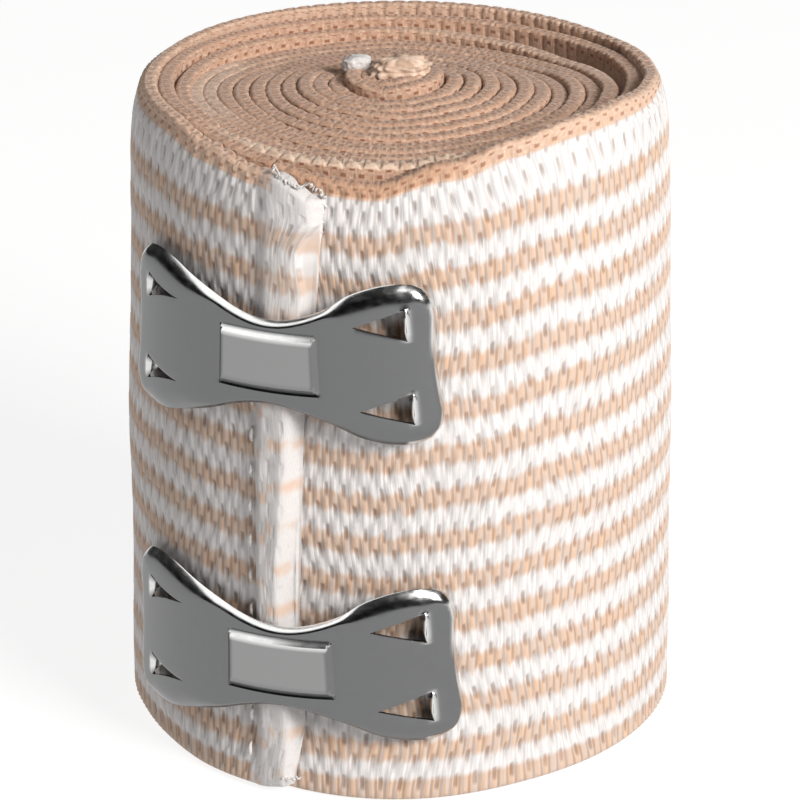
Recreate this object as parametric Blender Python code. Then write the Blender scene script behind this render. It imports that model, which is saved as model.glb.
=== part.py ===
"""Crepe bandage roll standing on one end, its loose end held down by two pressed-steel clips.

Pieces, one object each:
  wound_roll   the strip wound on itself: one solid with its telescoped rim, open turn and core twist
  loose_end    the last quarter turn of the strip with its folded hem, lying over the roll
  clip_upper   bow-tie clip near the top, with a raised panel and four tooth windows
  clip_lower   the same clip near the foot

Units are metres, +Z is up the roll's axis and the origin is the middle of the foot.
Angles are in degrees round the axis: 0 is the front (-Y), and they grow towards +X.
"""

import math

import bmesh
import bpy

MM = 0.001

# --- the strip ---------------------------------------------------------------
CLOTH_WIDTH = 75 * MM
CLOTH_THICKNESS = 1.7 * MM
AIR_GAP = 0.3 * MM
TURN_PITCH = CLOTH_THICKNESS + AIR_GAP
FOOT_RADIUS = 31.4 * MM
TOP_RADIUS = 30.2 * MM
BARREL = 0.4 * MM
BARREL_HEIGHT = 38 * MM
BARREL_REACH = 22 * MM
SHOULDER_HEIGHT = 8 * MM
SHOULDER_INSET = 1.1 * MM

# --- the rim and the foot, where the outer turns have slid along the axis -------
# columns: angle in degrees, rise of the edge in millimetres
RIM_RISE = ((-180, 0.2), (-115, 0.9), (-63, 1.2), (-33, -0.1), (0, 0.2), (40, 4.0), (57, 4.0), (85, 2.4), (130, 0.4))
FOOT_RISE = ((-180, 0.0), (-30, 0.0), (5, 0.3), (28, 1.3), (65, 1.3), (110, 0.4), (150, 0.0))

# --- the wound roll's own section ----------------------------------------------
ROLL_COLUMNS = 72
# columns: share of the radius, share of the height
ROLL_SECTION = (
    (0.0, 0.0),
    (0.5, 0.0),
    (0.88, 0.0),
    (0.965, 0.0),
    (0.992, 0.014),
    (1.0, 0.04),
    (1.0, 0.2),
    (1.0, 0.36),
    (1.0, 0.52),
    (1.0, 0.68),
    (1.0, 0.84),
    (1.0, 0.93),
    (0.995, 0.975),
    (0.975, 1.0),
    (0.94, 1.0),
    (0.86, 1.0),
    (0.83, 1.0),
    (0.77, 1.0),
    (0.74, 1.0),
    (0.55, 1.0),
    (0.34, 1.0),
    (0.16, 1.0),
    (0.11, 1.0),
    (0.0, 1.0),
)
DISH_DEPTH = 1.0 * MM
OPEN_TURN = (0.77, 0.83)
OPEN_TURN_DEPTH = 4.0 * MM
OPEN_TURN_ANGLE = 138
OPEN_TURN_REACH = 52
CORE_REACH = 0.12
CORE_RISE = 2.0 * MM
CORE_SHIFT = (-1.1 * MM, 1.7 * MM)

# --- the loose end ---------------------------------------------------------------
FREE_EDGE_ANGLE = -21
LOOSE_FROM_ANGLE = -115
STEP_ANGLE = 0.6
HEM_FROM_ANGLE = -30.5
HEM_RISE = 1.0 * MM
HEM_EDGE_ROUND = 0.6 * MM
LOOSE_COLUMNS = 18
HEM_COLUMNS = 8
LOOSE_ROWS = 16
# columns: share of the height, angle of the free edge in degrees
FREE_EDGE = (
    (0.0, -22.2),
    (0.12, -20.3),
    (0.33, -22.2),
    (0.5, -20.0),
    (0.8, -18.4),
    (0.87, -19.3),
    (0.93, -16.2),
    (1.0, -16.0),
)
CORNER_FROM_ANGLE = -27
CORNER_DROP = 2.6 * MM

# --- the clips ---------------------------------------------------------------------
STEEL_THICKNESS = 0.45 * MM
CLIP_WAIST_HALF = 4.9 * MM
CLIP_LOBE_HALF = 9.4 * MM
CLIP_END_HALF = 7.6 * MM
CLIP_LOBE_AT = 0.76
CLIP_END_HOLLOW = 0.045
CLIP_COLUMNS = 28
CLIP_ROWS = 6
PANEL_HALF_LENGTH = 0.31
PANEL_HALF_HEIGHT = 3.1 * MM
PANEL_RISE = 0.35 * MM
# how far the steel stands off the wall at the hem, and how fast it closes in on either side
CLIP_STANDOFF = 2.4 * MM
CLIP_LEFT_FALL = 0.0009 * MM
CLIP_RIGHT_FALL = 0.0014 * MM
CLIP_PEAK_ANGLE = -26
WINDOW_APEX = 0.52
WINDOW_BASE = 0.8
WINDOW_OFFSET = 4.7 * MM
WINDOW_HALF_BASE = 1.75 * MM
# columns: name, left end and right end in degrees, height of its middle, rise of its right end
CLIPS = (
    ("clip_upper", -64.0, 9.4, 53.2 * MM, 1.3 * MM),
    ("clip_lower", -64.0, 13.7, 16.6 * MM, 2.0 * MM),
)


def clear_scene():
    """Take every object out of the file, so the script can be run again."""
    for old in list(bpy.data.objects):
        bpy.data.objects.remove(old, do_unlink=True)


def material(name, colour, roughness, metallic):
    """A Principled material in one colour."""
    made = bpy.data.materials.new(name)
    made.use_nodes = True
    shader = made.node_tree.nodes["Principled BSDF"]
    shader.inputs["Base Color"].default_value = (*colour, 1.0)
    shader.inputs["Roughness"].default_value = roughness
    shader.inputs["Metallic"].default_value = metallic
    return made


def smooth(share):
    """An S-curve from 0 to 1."""
    share = min(max(share, 0.0), 1.0)
    return share * share * (3.0 - 2.0 * share)


def bump(value, centre, reach):
    """1 at the centre, falling smoothly to 0 at the reach on either side."""
    return smooth(1.0 - abs(value - centre) / reach)


def read_round(table, angle):
    """Read a table of angle and rise, which closes on itself after a full turn, in metres."""
    turned = (angle - table[0][0]) % 360 + table[0][0]
    closed = table + ((table[0][0] + 360, table[0][1]),)
    for (low, start), (high, end) in zip(closed, closed[1:]):
        if turned <= high:
            return (start + (end - start) * smooth((turned - low) / (high - low))) * MM
    return closed[-1][1] * MM


def read_along(table, share):
    """Read a table of share and value between its first and last rows."""
    for (low, start), (high, end) in zip(table, table[1:]):
        if share <= high:
            return start + (end - start) * smooth((share - low) / (high - low))
    return table[-1][1]


def rim_height(angle):
    return CLOTH_WIDTH + read_round(RIM_RISE, angle)


def foot_height(angle):
    return read_round(FOOT_RISE, angle)


def wall_radius(height):
    """Mean radius of the outside at a height: a slight taper, a barrel and a rounded shoulder."""
    radius = FOOT_RADIUS + (TOP_RADIUS - FOOT_RADIUS) * height / CLOTH_WIDTH
    radius += BARREL * bump(height, BARREL_HEIGHT, BARREL_REACH)
    shoulder = min(max((height - CLOTH_WIDTH + SHOULDER_HEIGHT) / SHOULDER_HEIGHT, 0.0), 1.0)
    return radius - SHOULDER_INSET * (1.0 - math.sqrt(1.0 - shoulder * shoulder))


def outside_radius(angle, height):
    """Outside of the last turn: it grows by one turn pitch on its way round from the free edge."""
    share = (angle - FREE_EDGE_ANGLE) / 360
    return wall_radius(height) + TURN_PITCH * (share - 0.5)


def place(angle, radius, height):
    """The point at an angle, a radius and a height."""
    turn = math.radians(angle)
    return (radius * math.sin(turn), -radius * math.cos(turn), height)


def finish(bm, name, finish_material, sharp_angle=40):
    """Turn a bmesh into an object with outward faces and smooth shading."""
    bmesh.ops.recalc_face_normals(bm, faces=bm.faces[:])
    mesh = bpy.data.meshes.new(name)
    bm.to_mesh(mesh)
    bm.free()
    mesh.materials.append(finish_material)
    mesh.shade_smooth()
    mesh.set_sharp_from_angle(angle=math.radians(sharp_angle))
    made = bpy.data.objects.new(name, mesh)
    bpy.context.scene.collection.objects.link(made)
    return made


# --- wound roll --------------------------------------------------------------------


def roll_angle(turn):
    """Angle of a spun column. The last one closes up to the step where the loose end leaves."""
    step = 360 / ROLL_COLUMNS
    column = round(turn / step)
    if column == ROLL_COLUMNS - 1:
        return LOOSE_FROM_ANGLE + 360 - STEP_ANGLE
    return LOOSE_FROM_ANGLE + column * step


def roll_radius(angle, height):
    """Outside of the roll: one turn lower where the loose end lies over it."""
    if angle <= FREE_EDGE_ANGLE:
        return outside_radius(angle + 360, height) - TURN_PITCH
    return outside_radius(angle, height)


def top_height(share, angle):
    """Height of the roll's upper end: rim, shallow dish, one open turn and the core's twist."""
    rise = rim_height(angle) - CLOTH_WIDTH
    height = CLOTH_WIDTH + rise * share**4 - DISH_DEPTH * smooth((1.0 - share) / 0.4)
    if OPEN_TURN[0] <= share <= OPEN_TURN[1]:
        height -= OPEN_TURN_DEPTH * bump(angle, OPEN_TURN_ANGLE, OPEN_TURN_REACH)
    if share < CORE_REACH:
        height += CORE_RISE
    return height


def roll_point(share, height_share, turn):
    """Where a point of the plain spun section goes on the wound roll."""
    angle = roll_angle(turn)
    foot = foot_height(angle) * smooth((share - 0.9) / 0.1)
    if height_share >= 1.0:
        height = top_height(share, angle)
    else:
        height = foot + (rim_height(angle) - foot) * height_share
    x, y, z = place(angle, share * roll_radius(angle, height), height)
    inward = 1.0 - share
    return (x + CORE_SHIFT[0] * inward * height_share, y + CORE_SHIFT[1] * inward * height_share, z)


def wound_roll(cloth):
    """Spin the section into a closed drum, then move its points onto the winding."""
    bm = bmesh.new()
    section = [bm.verts.new((share, 0.0, height)) for share, height in ROLL_SECTION]
    edges = [bm.edges.new(pair) for pair in zip(section, section[1:])]
    bmesh.ops.spin(
        bm,
        geom=section + edges,
        cent=(0, 0, 0),
        axis=(0, 0, 1),
        angle=math.tau,
        steps=ROLL_COLUMNS,
        use_merge=True,
    )
    bmesh.ops.remove_doubles(bm, verts=bm.verts[:], dist=0.0001)
    for vert in bm.verts:
        turn = math.degrees(math.atan2(vert.co.y, vert.co.x)) % 360
        share = round(math.hypot(vert.co.x, vert.co.y), 4)
        vert.co = roll_point(share, round(vert.co.z, 4), turn)
    return finish(bm, "wound_roll", cloth)


# --- loose end -----------------------------------------------------------------------


def loose_angle(share, height_share):
    """Angle of a column of the loose end: even up to the hem, closer over it."""
    edge = read_along(FREE_EDGE, height_share)
    plain = LOOSE_COLUMNS / (LOOSE_COLUMNS + HEM_COLUMNS)
    first = LOOSE_FROM_ANGLE + STEP_ANGLE
    if share <= plain:
        return first + (HEM_FROM_ANGLE - first) * share / plain
    return HEM_FROM_ANGLE + (edge - HEM_FROM_ANGLE) * (share - plain) / (1.0 - plain)


def hem_share(angle, height_share):
    """0 at the fold line of the hem, 1 at the free edge, below 0 on the plain cloth."""
    edge = read_along(FREE_EDGE, height_share)
    return (angle - HEM_FROM_ANGLE) / (edge - HEM_FROM_ANGLE)


def loose_end(cloth):
    """A grid laid on the outside of the last turn, then extruded inwards to its thickness."""
    bm = bmesh.new()
    columns = LOOSE_COLUMNS + HEM_COLUMNS
    bmesh.ops.create_grid(bm, x_segments=columns, y_segments=LOOSE_ROWS, size=0.5)
    outside = bm.verts[:]
    inside = bmesh.ops.extrude_face_region(bm, geom=bm.faces[:], use_keep_orig=True)["geom"]
    inside = {part for part in inside if isinstance(part, bmesh.types.BMVert)}
    for vert in outside + list(inside):
        share = vert.co.x + 0.5
        height_share = vert.co.y + 0.5
        angle = loose_angle(share, height_share)
        hem = hem_share(angle, height_share)
        top = rim_height(angle) - CORNER_DROP * smooth((angle - CORNER_FROM_ANGLE) / 10)
        foot = foot_height(angle)
        height = foot + (top - foot) * height_share
        radius = outside_radius(angle + 360, height)
        if vert in inside:
            radius -= CLOTH_THICKNESS
        elif hem > 0.0:
            radius += HEM_RISE * math.sqrt(math.sin(math.pi * min(hem, 1.0)) + 1e-9)
            radius -= HEM_EDGE_ROUND * smooth((hem - 0.8) / 0.2)
        vert.co = place(angle, radius, height)
    return finish(bm, "loose_end", cloth)


# --- clips -----------------------------------------------------------------------------


def clip_half_height(share):
    """Half the clip's height at a share of its half length: waist, lobe, then the end."""
    if share <= CLIP_LOBE_AT:
        grown = smooth(share / CLIP_LOBE_AT)
        return CLIP_WAIST_HALF + (CLIP_LOBE_HALF - CLIP_WAIST_HALF) * grown
    closed = (share - CLIP_LOBE_AT) / (1.0 - CLIP_LOBE_AT)
    return CLIP_LOBE_HALF - (CLIP_LOBE_HALF - CLIP_END_HALF) * closed * closed


def clip_point(along, up, out, clip):
    """A point on the bent steel: along is -1 to 1, up is in metres from its centre line."""
    _, left, right, middle, tilt = clip
    angle = (left + right) / 2 + along * (right - left) / 2
    height = middle + up + along * tilt / 2
    fall = CLIP_LEFT_FALL if angle < CLIP_PEAK_ANGLE else CLIP_RIGHT_FALL
    standoff = CLIP_STANDOFF - fall * (angle - CLIP_PEAK_ANGLE) ** 2
    return place(angle, wall_radius(height) + standoff + out, height)


def clip_rows(share):
    """Heights of the clip's rows: the panel's edges, the lobe's shoulders and its rim."""
    half = clip_half_height(share)
    between = (PANEL_HALF_HEIGHT + half) / 2
    return (-half, -between, -PANEL_HALF_HEIGHT, 0.0, PANEL_HALF_HEIGHT, between, half)


def clip_plate(clip):
    """A grid shaped to the bow-tie outline, bent round the roll and given the steel's thickness."""
    bm = bmesh.new()
    bmesh.ops.create_grid(bm, x_segments=CLIP_COLUMNS, y_segments=CLIP_ROWS, size=1.0)
    front = bm.verts[:]
    back = bmesh.ops.extrude_face_region(bm, geom=bm.faces[:], use_keep_orig=True)["geom"]
    back = {part for part in back if isinstance(part, bmesh.types.BMVert)}
    for vert in front + list(back):
        share = abs(vert.co.x)
        row = round((vert.co.y + 1.0) * CLIP_ROWS / 2)
        up = clip_rows(share)[row]
        end = 1.0 - CLIP_END_HOLLOW * (1.0 - (up / clip_half_height(1.0)) ** 2) if share > 0.99 else 1.0
        out = 0.0 if vert in back else STEEL_THICKNESS
        if share < PANEL_HALF_LENGTH and 2 <= row <= 4:
            out += PANEL_RISE
        vert.co = clip_point(vert.co.x * end, up, out, clip)
    return bm


def window_cutter(clip, steel):
    """Four three-sided prisms, apex towards the panel, that pass through the steel."""
    bm = bmesh.new()
    for side in (-1, 1):
        for level in (-WINDOW_OFFSET, WINDOW_OFFSET):
            corners = (
                (WINDOW_APEX, level),
                (WINDOW_BASE, level - WINDOW_HALF_BASE),
                (WINDOW_BASE, level + WINDOW_HALF_BASE),
            )
            inner = [bm.verts.new(clip_point(side * along, up, -2 * MM, clip)) for along, up in corners]
            face = bm.faces.new(inner)
            grown = bmesh.ops.extrude_face_region(bm, geom=[face], use_keep_orig=True)["geom"]
            outer = [part for part in grown if isinstance(part, bmesh.types.BMVert)]
            for vert in outer:
                vert.co.xy *= 1.0 + 4 * MM / vert.co.xy.length
    cutter = finish(bm, clip[0] + "_windows", steel)
    cutter.hide_render = True
    cutter.display_type = "WIRE"
    return cutter


def steel_clip(clip, steel):
    """One bow-tie clip with its four windows cut out."""
    made = finish(clip_plate(clip), clip[0], steel, sharp_angle=30)
    cut = made.modifiers.new("windows", "BOOLEAN")
    cut.operation = "DIFFERENCE"
    cut.solver = "EXACT"
    cut.object = window_cutter(clip, steel)
    return made


def main():
    clear_scene()
    cloth = material("crepe_cloth", (0.86, 0.76, 0.66), 0.9, 0.0)
    steel = material("clip_steel", (0.46, 0.46, 0.46), 0.3, 1.0)
    wound_roll(cloth)
    loose_end(cloth)
    for clip in CLIPS:
        steel_clip(clip, steel)


main()
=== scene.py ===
# %% [markdown]
# # A crepe bandage roll, held by two steel clips
# One long strip of striped crepe is wound on itself and stands on its lower selvedges.
# The frame gives the solids and their places. The cells below dress them: the wound turns, the
# outer turn with its crepe relief, the loose end with its hem, and the two pressed clips.

# %% Load the frame
import math

import bmesh
import bpy
import numpy as np
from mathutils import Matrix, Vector


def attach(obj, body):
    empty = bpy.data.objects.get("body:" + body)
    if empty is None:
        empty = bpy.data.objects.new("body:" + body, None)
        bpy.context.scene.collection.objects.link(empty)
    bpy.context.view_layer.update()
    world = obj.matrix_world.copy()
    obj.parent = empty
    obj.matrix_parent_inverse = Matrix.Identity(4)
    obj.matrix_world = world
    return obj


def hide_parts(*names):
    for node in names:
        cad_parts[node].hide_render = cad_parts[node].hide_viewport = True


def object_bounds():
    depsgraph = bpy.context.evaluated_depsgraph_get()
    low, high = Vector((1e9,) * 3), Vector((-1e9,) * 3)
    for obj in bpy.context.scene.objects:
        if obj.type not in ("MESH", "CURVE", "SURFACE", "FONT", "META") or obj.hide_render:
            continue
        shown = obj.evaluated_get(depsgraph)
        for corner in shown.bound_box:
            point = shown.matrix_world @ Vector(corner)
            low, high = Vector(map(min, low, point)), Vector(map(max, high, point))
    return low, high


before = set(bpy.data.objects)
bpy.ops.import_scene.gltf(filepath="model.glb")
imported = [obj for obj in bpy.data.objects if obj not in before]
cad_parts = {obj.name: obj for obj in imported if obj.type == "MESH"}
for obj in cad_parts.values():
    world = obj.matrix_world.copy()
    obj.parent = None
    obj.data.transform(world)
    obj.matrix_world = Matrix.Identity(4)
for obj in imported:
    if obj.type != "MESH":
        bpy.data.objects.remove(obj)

MM = 0.001
cad_low, cad_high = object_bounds()
print("frame:", [round(side / MM, 1) for side in cad_high - cad_low], "mm")

# %% [markdown]
# ## Camera
# The camera comes first. It looks down on the roll from the front, from far enough away that
# the sides stay nearly upright and the upper end still shows as a flat oval.

# %% Camera
CAMERA_DISTANCE = 550.9 * MM
CAMERA_HEIGHT = 274.4 * MM
CAMERA_PITCH = 23.41
CAMERA_SIDE = 0.2 * MM
LENS = 233.1

camera_data = bpy.data.cameras.new("camera")
camera_data.lens = LENS
camera_data.clip_start = 0.01
camera = bpy.data.objects.new("camera", camera_data)
camera.location = (CAMERA_SIDE, -CAMERA_DISTANCE, CAMERA_HEIGHT)
camera.rotation_euler = (math.radians(90 - CAMERA_PITCH), 0.0, 0.0)
bpy.context.scene.collection.objects.link(camera)
bpy.context.scene.camera = camera
print("camera looks down by", CAMERA_PITCH, "degrees")

# %% [markdown]
# ## Small tools for soft shapes
# Cloth is never quite even. These helpers give S-curves, tables read round the roll, and a
# slow unevenness that is the same at each run because its seed is fixed.


# %% Soft steps, tables and unevenness
def smooth(share):
    """An S-curve from 0 to 1."""
    share = np.clip(share, 0.0, 1.0)
    return share * share * (3.0 - 2.0 * share)


def bump(value, centre, reach):
    """1 at the centre, falling smoothly to 0 at the reach on either side."""
    return smooth(1.0 - np.abs(value - centre) / reach)


def read_table(table, value):
    """Values of a table of place and value, joined by S-curves."""
    rows = np.array(table, float)
    row = np.clip(np.searchsorted(rows[:, 0], value, side="right") - 1, 0, len(rows) - 2)
    low, high = rows[row], rows[row + 1]
    share = smooth((value - low[..., 0]) / (high[..., 0] - low[..., 0]))
    return low[..., 1] + (high[..., 1] - low[..., 1]) * share


def read_round(table, angle):
    """The same for a table of angle and value that closes on itself after a full turn."""
    closed = table + ((table[0][0] + 360, table[0][1]),)
    return read_table(closed, (angle - table[0][0]) % 360 + table[0][0])


def from_front(angle):
    """The same angle counted from the front, between -180 and 180."""
    return (angle + 180) % 360 - 180


def drift(across, up, seed):
    """A slow unevenness between -1 and 1, one step of which is one unit long."""
    knots = np.random.default_rng(seed).uniform(-1.0, 1.0, (64, 64))
    column, row = np.floor(across).astype(int), np.floor(up).astype(int)
    right, higher = smooth(across - column), smooth(up - row)
    low = knots[column % 64, row % 64] * (1 - right) + knots[(column + 1) % 64, row % 64] * right
    high = knots[column % 64, (row + 1) % 64] * (1 - right)
    high = high + knots[(column + 1) % 64, (row + 1) % 64] * right
    return low * (1 - higher) + high * higher


# %% [markdown]
# ## The winding
# The strip is followed by its way round the roll, in degrees: 0 just right of the free edge,
# 360 at the free edge itself, and below 0 on the turns inside. Every turn lies one pitch
# further out than the last. Across the strip, 14.8 stripe bands lie between the selvedges.

# %% The winding's sizes
CLOTH_WIDTH = 75 * MM
CLOTH_THICKNESS = 1.7 * MM
INNER_THICKNESS = 1.78 * MM
TURN_PITCH = 2.0 * MM
FOOT_RADIUS = 31.4 * MM
TOP_RADIUS = 30.2 * MM
MEAN_RADIUS = (FOOT_RADIUS + TOP_RADIUS) / 2
BARREL = 0.4 * MM
BARREL_HEIGHT = 38 * MM
BARREL_REACH = 22 * MM
SHOULDER_HEIGHT = 8 * MM
SHOULDER_INSET = 1.1 * MM
FOOT_FLARE = 1.2 * MM
FOOT_TUCK = 0.6 * MM
FREE_EDGE_ANGLE = -21
LOOSE_FROM_WAY = 266
INNER_TURNS = 13.9
CORE_SHIFT = (-1.9 * MM, 1.9 * MM)
SIDE_SHIFT = 0.75 * MM

WALE = 2.1 * MM
BANDS = 14.78
SPLIT_BANDS = 13.5

# columns: angle in degrees, height of the upper edge above the cloth's width in millimetres
RIM_RISE = (
    (-180, 0.2),
    (-115, 0.9),
    (-63, 2.0),
    (-48, 0.9),
    (-33, -0.2),
    (-5, -0.9),
    (14, 1.4),
    (28, 3.2),
    (42, 4.2),
    (56, 4.1),
    (75, 3.0),
    (100, 1.4),
    (130, 0.3),
)
# columns: angle in degrees, height of the lower edge in millimetres
FOOT_RISE = ((-180, 0.0), (-30, 0.0), (5, 0.0), (28, 0.3), (65, 0.4), (110, 0.2), (150, 0.0))
# columns: angle in degrees, height in millimetres at which the last full stripe ends
SPLIT_HEIGHT = (
    (-180, 71.0),
    (-115, 70.8),
    (-63, 71.0),
    (-47, 70.2),
    (-4, 69.6),
    (15, 70.6),
    (35, 72.4),
    (67, 72.3),
    (100, 72.0),
    (140, 71.0),
)
# columns: turns inside the outer one, how far the rear of that turn has sunk in millimetres
REAR_DIP = ((0.0, 0.9), (1.0, 1.7), (2.0, 3.1), (3.5, 2.6), (8.0, 1.2), (14.0, 0.0))
# in millimetres: sag of the middle turns, step of the second turn at the front, rise of the
# core, and the widest open spaces between turns at the rear right and at the left
MIDDLE_SAG = 0.5
FRONT_STEP = 0.55
CORE_RISE = 0.9
OPEN_REAR = 2.3
OPEN_LEFT = 0.5
# in turns inside the outer one: where the core starts to rise
CORE_FROM = 11.25


def wall_radius(height):
    """Mean radius of the outside: a slight taper, a barrel and a rounded shoulder."""
    radius = FOOT_RADIUS + (TOP_RADIUS - FOOT_RADIUS) * height / CLOTH_WIDTH
    radius = radius + BARREL * bump(height, BARREL_HEIGHT, BARREL_REACH)
    shoulder = np.clip((height - CLOTH_WIDTH + SHOULDER_HEIGHT) / SHOULDER_HEIGHT, 0.0, 1.0)
    return radius - SHOULDER_INSET * (1.0 - np.sqrt(1.0 - shoulder * shoulder))


def length_along(way):
    """Length of cloth from way 0, in metres: the turns widen steadily, so it is a quadratic."""
    return math.radians(1) * ((MEAN_RADIUS - TURN_PITCH / 2) * way + TURN_PITCH * way * way / 720)


def ways_between(first, last, per_wale):
    """Evenly spaced stations along the cloth, a whole number of them to each wale."""
    start = length_along(first) / WALE
    end = length_along(last) / WALE
    wales = np.arange(math.ceil(start * per_wale), math.floor(end * per_wale) + 1) / per_wale
    wales = np.concatenate(([start], wales[(wales > start + 0.02) & (wales < end - 0.02)], [end]))
    table = np.linspace(first, last, 4000)
    return np.interp(wales * WALE, length_along(table), table)


strip_length = length_along(360) - length_along(-360 * INNER_TURNS)
print("strip:", round(strip_length / MM), "mm long when relaxed")


# %% [markdown]
# The edges of the turns don't lie level. At the front right the outer turn has slid up by
# 4 mm, and at the rear the inner turns have sunk, so the upper end is a shallow, tilted dish.


# %% Where the edges of each turn lie
def turns_in(way):
    """How many turns inside the outer one a station lies, 0 on the outer turn itself."""
    return np.clip(-way / 360, 0.0, None)


def rim_height(way, angle):
    """Upper edge of the strip."""
    rise = read_round(RIM_RISE, angle)
    depth = turns_in(way)
    rear = smooth((np.abs(from_front(angle)) - 60) / 100)
    settled = 0.25 + np.maximum(rise, -0.3) * 0.5 ** (depth + 0.6)
    settled = settled - read_table(REAR_DIP, depth) * rear - MIDDLE_SAG * bump(depth, 5, 5)
    front = bump(from_front(angle), 8, 75)
    settled = settled + FRONT_STEP * front * bump(depth, 0.95, 0.45)
    settled = settled + CORE_RISE * smooth((depth - CORE_FROM) / 0.25)
    settled = settled + 0.22 * drift(way / 47, depth * 3, 5) + 0.12 * drift(way / 13, depth * 7, 6)
    inside = smooth(depth / 0.04)
    return CLOTH_WIDTH + (rise * (1 - inside) + settled * inside) * MM


def foot_height(way, angle):
    """Lower edge of the strip."""
    inside = smooth(turns_in(way) / 0.04)
    rest = 0.15 + 0.15 * drift(way / 31, way * 0, 7)
    return (read_round(FOOT_RISE, angle) * (1 - inside) + rest * inside) * MM


def band_height(way, angle, share):
    """Height of a point at a share of the strip's width, stripe for stripe."""
    foot, rim = foot_height(way, angle), rim_height(way, angle)
    split_share = SPLIT_BANDS / BANDS
    split = read_round(SPLIT_HEIGHT, angle) * MM + np.minimum(rim - CLOTH_WIDTH, 0.0)
    low = foot + (split - foot) * share / split_share
    high = split + (rim - split) * (share - split_share) / (1.0 - split_share)
    return np.where(share < split_share, low, high)


def turn_radius(way, angle, height):
    """Outside radius of the turn, with the open spaces between the turns."""
    share = 1.0 + TURN_PITCH / MEAN_RADIUS * (way / 360 - 0.5)
    depth = turns_in(way)
    front = from_front(angle)
    opened = bump(front, 128, 70) * smooth((depth - 1.35) / 0.3)
    opened = opened * np.clip((9.0 - depth) / 7.0, 0.0, 1.0) * OPEN_REAR
    opened = opened + OPEN_LEFT * bump(front, -95, 50) * bump(depth, 1.4, 1.2)
    loose = 0.16 * drift(way / 60, depth * 5, 8) * smooth(depth / 0.3)
    flare = FOOT_FLARE * bump(front, -10, 50) - FOOT_TUCK * bump(front, -68, 32)
    flare = flare * bump(height, 0, 10 * MM) * (1.0 - smooth(depth / 0.3))
    return wall_radius(height) * share + flare + (loose - opened) * MM


def place(way, radius, height):
    """Points in space, with the inner turns drawn towards the core, which lies off the middle."""
    turn = np.radians(FREE_EDGE_ANGLE + way)
    inward = np.clip(turns_in(way) / INNER_TURNS, 0.0, 1.0)
    across = radius * np.sin(turn) + CORE_SHIFT[0] * inward + SIDE_SHIFT
    along = -radius * np.cos(turn) + CORE_SHIFT[1] * inward
    return np.stack((across, along, height), axis=-1)


# %% [markdown]
# ## Crepe relief
# Crepe is woven with hard-twisted yarns that shrink and pull the weft into little upright
# ribs. Above and below each peach band the ribs part in short furrows, and the two rows of
# furrows stand half a wale apart, like bricks. The relief is real geometry on the outer turn.

# %% Furrows and ribs of the crepe
BAND_START = 0.19
FURROW_HALF = 0.125
UPPER_FURROW = (0.06, 0.45)
LOWER_FURROW = (-0.52, -0.06)
UPPER_SHALLOW = 0.85
# in millimetres
RIB_HEIGHT = 0.09
FURROW_DEPTH = 0.5


def pulse(value, low, high, soft=0.12):
    """1 between two places, fading over a soft distance inside each."""
    return smooth((value - low) / soft) * smooth((high - value) / soft)


def furrows(wales, bands):
    """Depth of the furrows, 0 to 1, at a place counted in wales along and bands up."""
    row = np.round(bands - BAND_START)
    within = bands - BAND_START - row
    beside = wales - np.round(wales)
    between = wales + 0.5 - np.round(wales + 0.5)
    depth = 0.8 + 0.3 * drift(wales + 0.5, row * 3.0, 11)
    upper = np.exp(-((beside / FURROW_HALF) ** 2)) * pulse(within, *UPPER_FURROW)
    lower = np.exp(-((between / FURROW_HALF) ** 2)) * pulse(within, *LOWER_FURROW)
    lower = lower * (0.55 + 0.45 * smooth((within + 0.5) / 0.4))
    return (upper * UPPER_SHALLOW + lower) * depth


def crepe_relief(wales, bands):
    """How far the face of the crepe stands out, in metres."""
    ribs = RIB_HEIGHT * np.cos(4 * math.pi * wales)
    slow = 0.16 * drift(wales / 7, bands / 2.2, 12) + 0.07 * drift(wales / 2.3, bands / 0.8, 13)
    return (ribs + slow - FURROW_DEPTH * furrows(wales, bands)) * MM


def lean(wales, bands, angle):
    """Sideways wander of the wales: a slow drift, and a slant near the top at the front."""
    wander = 0.34 * drift(wales / 5, bands / 1.6, 14) + 0.13 * drift(wales / 1.7, bands / 0.9, 15)
    slant = -0.35 * np.clip(bands - 9.0, 0.0, None) ** 1.3 * 0.25 * bump(angle, 18, 55)
    return (wander + slant) * WALE


# %% [markdown]
# ## A strip as a closed sheet
# Each strip is a grid, rolled into a flat tube: up the outside, over the selvedge, down the
# inside and back under the foot. The grid's points are moved onto the winding, its first
# and last rows are welded, and the two ends are closed.


# %% Section of the strip and the mesh builder
FOOT_SHARE = 0.008
RIM_SHARE = 0.992


def strip_section(outer_rows, inner_rows, crest_rows, foot_rows):
    """Stations round the strip: share of the width, share of the thickness from outside, rise."""
    outer = np.linspace(FOOT_SHARE, RIM_SHARE, outer_rows)
    inner = np.linspace(RIM_SHARE, FOOT_SHARE, inner_rows)
    top = np.linspace(0.0, math.pi, crest_rows + 2)[1:-1]
    under = np.linspace(math.pi, 0.0, foot_rows + 2)[1:-1]
    over, below = (1 - np.cos(top)) / 2, (1 - np.cos(under)) / 2
    share = np.concatenate((outer, 0 * top + RIM_SHARE, inner, 0 * under + FOOT_SHARE, outer[:1]))
    depth = np.concatenate((0 * outer, over, 0 * inner + 1, below, [0]))
    rise = np.concatenate((0 * outer, np.sin(top), 0 * inner, -np.sin(under), [0]))
    return share, depth, rise


def finish_mesh(name, bm, mesh=None):
    """Write a finished bmesh to a smooth object, link it and say how big it is."""
    mesh = mesh or bpy.data.meshes.new(name)
    bm.to_mesh(mesh)
    bm.free()
    mesh.shade_smooth()
    made = bpy.data.objects.new(name, mesh)
    bpy.context.scene.collection.objects.link(made)
    print(name, "has", len(mesh.polygons), "faces")
    return made


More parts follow.
